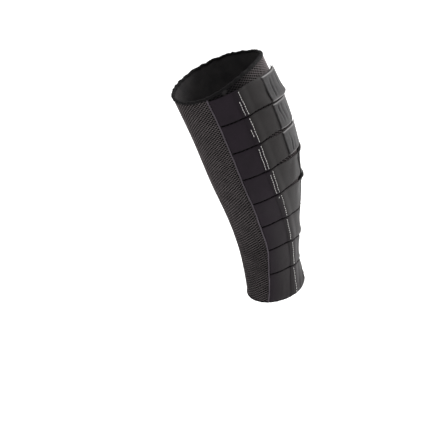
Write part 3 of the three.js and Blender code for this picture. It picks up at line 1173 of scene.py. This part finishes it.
# %% Straps
STRAP_COLUMNS = 110
STRAP_ROWS = 40
FEATHER = 1.1 * MM
FEATHER_LENGTH = 4 * MM
STRAP_FOLD_START = 48 * MM
STRAP_FOLD_FULL = 60 * MM
STRAP_ROUNDING = 0.45 * MM
LAP_TINT_END = STITCH_ROWS[1] - 0.3 * MM
LAP_TINT_SOFT = 1.5 * MM
PALE_TINT_SOFT = 34 * MM

strap_cloth = cloth_material(
    "strap laminate", (0.0115, 0.0102, 0.0102), (0.019, 0.0172, 0.0172),
    pitch=0.7 * MM, slant=0.35, depth=0.06 * MM, roughness=0.55, sheen=0.02,
)
tint_by_attribute(strap_cloth, "lap", ROOT_DARK)
# the paler tint of the lower roots, running on past the lap
tint_by_attribute(strap_cloth, "paler", ROOT_PALER)


def strap_band(strap):
    end = strap_end(strap)

    def place(across, up, outward):
        length = LAP_START + across * (end - LAP_START)
        edge = edge_distance(strap, length, up, LAP_START, end)
        free = ease(edge, 0, FREE_WIDTH)
        fold = hem_fold(strap, length, up) * ease(length, STRAP_FOLD_START, STRAP_FOLD_FULL) * free
        feather = FEATHER * (1 - ease(length, LAP_START, LAP_START + FEATHER_LENGTH))
        face = strap_face(strap, length, up, edge) - seal(edge) - feather + fold
        return strap_point(strap, length, up, strap_base(length) + face * outward)

    def near_seam(cloth, soft):
        return 1 - ease(cloth[:, 0], LAP_TINT_END, LAP_TINT_END + soft)

    flat = (end - LAP_START, STRAP_PITCH - NARROW_GAP)
    name = f"strap_cloth_{strap + 1}"
    piece = bent_slab(name, STRAP_COLUMNS, STRAP_ROWS, flat, place, STRAP_ROUNDING)
    mark_points(piece, "lap", lambda cloth: (1 - paleness(strap)) * near_seam(cloth, LAP_TINT_SOFT))
    mark_points(piece, "paler", lambda cloth: paleness(strap) * near_seam(cloth, PALE_TINT_SOFT))
    finish_piece(piece, strap_cloth)
    return piece, flat


strap_pieces = [strap_band(strap) for strap in range(STRAP_COUNT)]
print("strap faces:", len(strap_pieces[0][0].data.polygons))

# %% [markdown]
# ## Creases of a hook tab
# The free end of each strap carries a stiff patch of moulded hook tape. Pulling it
# open leaves a few crooked upright creases, broken here and there. Sculpting them
# would fix them for one tab only, so they are three wandering lines in code, other
# for every tab.

# %% Creases of a hook tab
CREASE_DEPTH = 0.8 * MM
# Place along the tab, width, share of the depth
CREASES = (
    (10 * MM, 1.7 * MM, 1.0),
    (17 * MM, 2.4 * MM, 0.6),
    (29 * MM, 2.0 * MM, 0.7),
)
CREASE_STRAY = 3.2 * MM
STRAYS_UP = 3
UNBROKEN = 0.6
BREAK_SHARE = 0.8
BREAKS_UP = 4.5
BREAK_LENGTH = 9 * MM
CREASE_INSET = (0.04, 0.14)


def crease(strap, along, up):
    """The depth of the creases at a place on the tab, from 0 to CREASE_DEPTH."""
    stray = CREASE_STRAY * noise(up * STRAYS_UP, 0 * up, strap + 11)
    breaks = noise(up * BREAKS_UP, along / BREAK_LENGTH, strap + 5)
    broken = np.clip(UNBROKEN + BREAK_SHARE * breaks, 0, 1)
    deep = sum(
        share * np.exp(-(((along - place - stray) / width) ** 2))
        for place, width, share in CREASES
    )
    inside = ease(np.minimum(up, 1 - up), *CREASE_INSET)
    return CREASE_DEPTH * np.minimum(deep * broken, 1) * inside


print("creases on a tab:", len(CREASES))

# %% [markdown]
# ## Hook tabs
# The tab's moulded rim stands up and catches the light, and its long edges carry a
# painted highlight. The creases are real dents, with painted shade in their ground.

# %% Hook tabs
TAB_COLUMNS = 48
TAB_ROWS = 40
TAB_INSET = 0.5 * MM
TAB_RIM_WIDTH = 1.4 * MM
TAB_RIM_RISE = 0.4 * MM
TAB_RIM_SOFT = 0.6 * MM
TAB_SHOULDER = 0.3 * MM
TAB_SHOULDER_WIDTH = 1 * MM
TAB_PATCHES = 220
TAB_ROUNDING = 0.3 * MM
# where the painted highlight along the tab's long edges fades, and its colour
HIGHLIGHT_START = 0.8 * MM
HIGHLIGHT_END = 1.9 * MM
EDGE_HIGHLIGHT_COLOUR = (0.11, 0.107, 0.107)
# colour of the painted shade in the creases
CREASE_SHADE_COLOUR = (0.003, 0.003, 0.0035)

tab_cloth = cloth_material(
    "hook tab", (0.0108, 0.0102, 0.0105), (0.035, 0.0333, 0.0342),
    pitch=1.2 * MM, slant=0.0, depth=0.08 * MM, roughness=0.5, sheen=0.01, patches=TAB_PATCHES,
)
# painted shade in the creases
tint_by_attribute(tab_cloth, "crease_shade", CREASE_SHADE_COLOUR)
# painted highlight along the tab's long edges
tint_by_attribute(tab_cloth, "edge_highlight", EDGE_HIGHLIGHT_COLOUR)


def hook_tab(strap):
    start, end = tab_start(strap), strap_end(strap)
    flat = (end - start, STRAP_PITCH - NARROW_GAP - 2 * TAB_INSET)

    def place(across, up, outward):
        length = start + across * (end - start)
        edge = edge_distance(strap, length, up, start, end)
        rim = TAB_RIM_RISE * np.exp(-(((edge - TAB_RIM_WIDTH) / TAB_RIM_SOFT) ** 2))
        shoulder = TAB_SHOULDER * (1 - ease(edge, 0, TAB_SHOULDER_WIDTH))
        face = TAB_THICKNESS + rim - crease(strap, length - start, up) - shoulder
        base = 2 * LAYER_GAP + STRAP_THICKNESS
        return strap_point(strap, length, up, base + face * outward, TAB_INSET)

    # painted highlight, strongest at the tab's long edges
    def highlight_near_edge(cloth):
        side = np.minimum(cloth[:, 1], flat[1] - cloth[:, 1])
        return 1 - ease(side, HIGHLIGHT_START, HIGHLIGHT_END)

    name = f"hook_tab_cloth_{strap + 1}"
    piece = bent_slab(name, TAB_COLUMNS, TAB_ROWS, flat, place, TAB_ROUNDING)
    mark_points(piece, "edge_highlight", highlight_near_edge)
    # painted shade in the creases, as strong as they are deep
    mark_points(
        piece, "crease_shade",
        lambda cloth: crease(strap, cloth[:, 0], cloth[:, 1] / flat[1]) / CREASE_DEPTH,
    )
    finish_piece(piece, tab_cloth)
    return piece, flat


tab_pieces = [hook_tab(strap) for strap in range(STRAP_COUNT)]
print("tab faces:", len(tab_pieces[0][0].data.polygons))

# %% [markdown]
# ## One stitch
# Two rows of thick white thread hold each strap to its root. A stitch rises from the
# cloth, lies along it and dives back in. It is modelled from a short cylinder: cut
# across with bisect, then bent down and thinned at both ends. Few sides are enough,
# because it is repeated more than a hundred times.

# %% One stitch
STITCH_LENGTH = 2.8 * MM
THREAD_RADIUS = 0.27 * MM
THREAD_SIDES = 6
STITCH_CUTS = (-0.36, -0.18, 0.0, 0.18, 0.36)
STITCH_RISE = 0.5 * MM
STITCH_THINNING = 0.3


def one_stitch():
    bpy.ops.object.select_all(action="DESELECT")
    bpy.ops.mesh.primitive_cylinder_add(
        vertices=THREAD_SIDES, radius=THREAD_RADIUS, depth=STITCH_LENGTH,
        rotation=(0, math.pi / 2, 0), location=(0, 0, 0),
    )
    piece = bpy.context.object
    bpy.ops.object.transform_apply(rotation=True)
    bpy.ops.object.mode_set(mode="EDIT")
    for share in STITCH_CUTS:
        bpy.ops.mesh.select_all(action="SELECT")
        bpy.ops.mesh.bisect(plane_co=(share * STITCH_LENGTH, 0, 0), plane_no=(1, 0, 0))
    bpy.ops.object.mode_set(mode="OBJECT")
    mesh = piece.data
    for vertex in mesh.vertices:
        t = abs(2 * vertex.co.x / STITCH_LENGTH)
        thin = 1 - STITCH_THINNING * t**3
        vertex.co.y *= thin
        vertex.co.z = vertex.co.z * thin + STITCH_RISE * (0.5 - t**3)
    points = np.array([v.co[:] for v in mesh.vertices])
    faces = [tuple(p.vertices) for p in mesh.polygons]
    bpy.data.objects.remove(piece)
    bpy.data.meshes.remove(mesh)
    return points, faces


STITCH_POINTS, STITCH_FACES = one_stitch()
print("one stitch:", len(STITCH_FACES), "faces")

# %% [markdown]
# ## Rows of stitches
# The rows wander, as they do on cloth sewn while it is stretched, and the row by the
# edge is only partly seen on most straps. An array modifier would space the stitches
# evenly on a flat line. Placing them one by one lets each lie on the strap's face.

# %% Rows of stitches
STITCH_SPACE = 3.6 * MM
STITCH_STRAY = 3 * MM
STITCH_WAVER = 0.2 * MM
WAVER_STEP = 5.1
WAVER_SHIFT = 2.3
STITCH_SINK = 0.15 * MM
MAIN_ROW = (0.035, 0.97)
DIRECTION_STEP = 0.02
# top and bottom: how far the rows stray, as shares of STITCH_STRAY
# edge_low, edge_high: the stretch of the width over which the edge row shows
SEAMS = np.array([
    (0.2, 0.5, 0.05, 0.62),
    (0.1, 0.0, 0.30, 0.62),
    (0.0, -0.2, 0.05, 0.95),
    (0.9, 0.1, 0.04, 0.95),
    (0.6, -0.1, 0.86, 0.96),
    (-0.6, -1.0, 0.0, 0.0),
    (-0.3, -0.1, 0.0, 0.0),
    (-0.6, 1.0, 0.0, 0.0),
])

thread = cloth_material(
    "white thread", (0.6, 0.59, 0.57), (0.8, 0.79, 0.77),
    pitch=0.5 * MM, slant=0.9, depth=0.05 * MM, roughness=0.55, sheen=0.1,
)


def stitch_place(strap, length, up):
    """The middle of a stitch on the strap's face, and its three directions."""
    lengths = np.full(3, length)
    ups = np.array([up - DIRECTION_STEP, up + DIRECTION_STEP, up])
    base = strap_base(lengths) + STRAP_THICKNESS - STITCH_SINK
    below, above, centre = strap_point(strap, lengths, ups, base)
    beyond = strap_point(strap, lengths, ups, base + MM)[2]
    along = (above - below) / np.linalg.norm(above - below)
    outward = (beyond - centre) / np.linalg.norm(beyond - centre)
    return centre, along, np.cross(outward, along), outward


def stitches(strap):
    points, faces, cloth = [], [], []
    stray_top, stray_bottom, edge_low, edge_high = SEAMS[strap]
    width = STRAP_PITCH - NARROW_GAP
    for row, (low_share, high_share) in zip(STITCH_ROWS, ((edge_low, edge_high), MAIN_ROW)):
        for index in range(int((high_share - low_share) * width / STITCH_SPACE)):
            up = low_share + (index + 0.5) * STITCH_SPACE / width
            stray = STITCH_STRAY * (stray_bottom + (stray_top - stray_bottom) * up)
            waver = STITCH_WAVER * math.sin(WAVER_STEP * index + WAVER_SHIFT * strap)
            length = LAP_START + row + stray + waver
            centre, along, side, outward = stitch_place(strap, length, up)
            first = len(points)
            for x, y, z in STITCH_POINTS:
                points.append((centre + x * along + y * side + z * outward).tolist())
            faces += [tuple(first + v for v in face) for face in STITCH_FACES]
    for face in faces:
        for vertex in face:
            cloth += [float(v) for v in STITCH_POINTS[vertex % len(STITCH_POINTS)][:2]]
    piece = mesh_piece(f"white_stitches_{strap + 1}", points, faces, cloth)
    finish_piece(piece, thread, ROUND_DEGREES)
    return piece


stitch_pieces = [stitches(strap) for strap in range(STRAP_COUNT)]
print("stitch faces:", sum(len(p.data.polygons) for p in stitch_pieces))

# %% [markdown]
# ## Ties to the solid model
# A piece that stands for a solid replaces it, and every piece rides on the part's
# one body.

# %% Ties of the tube
BODY = "root"

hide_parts("mesh_body")
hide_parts("mesh_body")
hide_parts("rim_tape")
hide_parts("hem_tape")
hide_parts("piping")
for piece in (spacer_face_piece, lining_piece, rim_piece, hem_piece, piping_piece):
    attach(piece, BODY)
print("tied the tube, its tapes and its piping")

# %% [markdown]
# ## Ties of the straps
# The roots, straps and tabs stand for solids one for one. The stitches stand for
# none, so they only ride.

# %% Ties of the straps
for strap in range(STRAP_COUNT):
    root, root_flat = root_pieces[strap]
    band, band_flat = strap_pieces[strap]
    tab, tab_flat = tab_pieces[strap]
    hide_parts(f"strap_root_{strap + 1}")
    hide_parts(f"strap_{strap + 1}")
    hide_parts(f"hook_tab_{strap + 1}")
    for piece in (root, band, tab, stitch_pieces[strap]):
        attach(piece, BODY)
print("tied", 4 * STRAP_COUNT, "pieces of the straps")

# %% [markdown]
# ## Floor
# A plain pale floor lies well below the hem, because the wrap is shown at the height
# where it is worn. A curved backdrop would do too, but one large plane is enough for
# a white ground from every side.

# %% Floor
FLOOR_DROP = 95 * MM
FLOOR_SIZE = 14
FLOOR_PALE = 0.92
FLOOR_ROUGHNESS = 0.9


def add_floor():
    bpy.ops.object.select_all(action="DESELECT")
    bpy.ops.mesh.primitive_plane_add(size=FLOOR_SIZE, location=(0, 0, 0))
    floor = bpy.context.object
    floor.name = "floor"
    floor.location.z = -FLOOR_DROP
    bpy.ops.object.transform_apply(location=True)
    material = bpy.data.materials.new("pale floor")
    material.use_nodes = True
    shader = material.node_tree.nodes["Principled BSDF"]
    shader.inputs["Base Color"].default_value = (FLOOR_PALE, FLOOR_PALE, FLOOR_PALE, 1)
    shader.inputs["Roughness"].default_value = FLOOR_ROUGHNESS
    floor.data.materials.append(material)


add_floor()
print("floor", round(FLOOR_DROP / MM), "mm below the hem")

# %% [markdown]
# ## Light
# The light is soft and white all round, with the brighter side behind the outer
# edge, so that the straps pale towards it and the roots stay dark. One big lamp near
# the camera would flatten them. A wide sun keeps the whole floor as pale as its
# nearest part, and the Standard view keeps white as white.

# %% Light
WORLD_STRENGTH = 0.68


def light_way(turn, rise):
    """The direction towards a light, so many degrees round from the camera's side."""
    turn, rise = CAMERA_TURN + math.radians(turn), math.radians(rise)
    level = math.cos(rise)
    return Vector((math.sin(turn) * level, -math.cos(turn) * level, math.sin(rise)))


def add_area_light(name, turn, rise, distance, size, power):
    way = light_way(turn, rise)
    lamp = add_to_scene(name, bpy.data.lights.new(name, "AREA"))
    lamp.data.shape = "DISK"
    lamp.data.size = size
    lamp.data.energy = power
    lamp.location = AIM + way * distance
    lamp.rotation_euler = way.to_track_quat("Z", "Y").to_euler()


def add_sun(name, turn, rise, width, strength):
    lamp = add_to_scene(name, bpy.data.lights.new(name, "SUN"))
    lamp.data.angle = math.radians(width)
    lamp.data.energy = strength
    lamp.rotation_euler = light_way(turn, rise).to_track_quat("Z", "Y").to_euler()


add_area_light(
    "key behind the outer side", turn=108, rise=26, distance=1.6, size=0.8, power=40,
)
add_area_light("fill from the front", turn=-35, rise=40, distance=2.0, size=1.6, power=5)
add_sun("soft sun", turn=60, rise=72, width=50, strength=1.5)
world = bpy.data.worlds.new("soft daylight")
bpy.context.scene.world = world
world.use_nodes = True
sky = world.node_tree.nodes["Background"]
sky.inputs["Color"].default_value = (1, 1, 1, 1)
sky.inputs["Strength"].default_value = WORLD_STRENGTH
bpy.context.scene.view_settings.view_transform = "Standard"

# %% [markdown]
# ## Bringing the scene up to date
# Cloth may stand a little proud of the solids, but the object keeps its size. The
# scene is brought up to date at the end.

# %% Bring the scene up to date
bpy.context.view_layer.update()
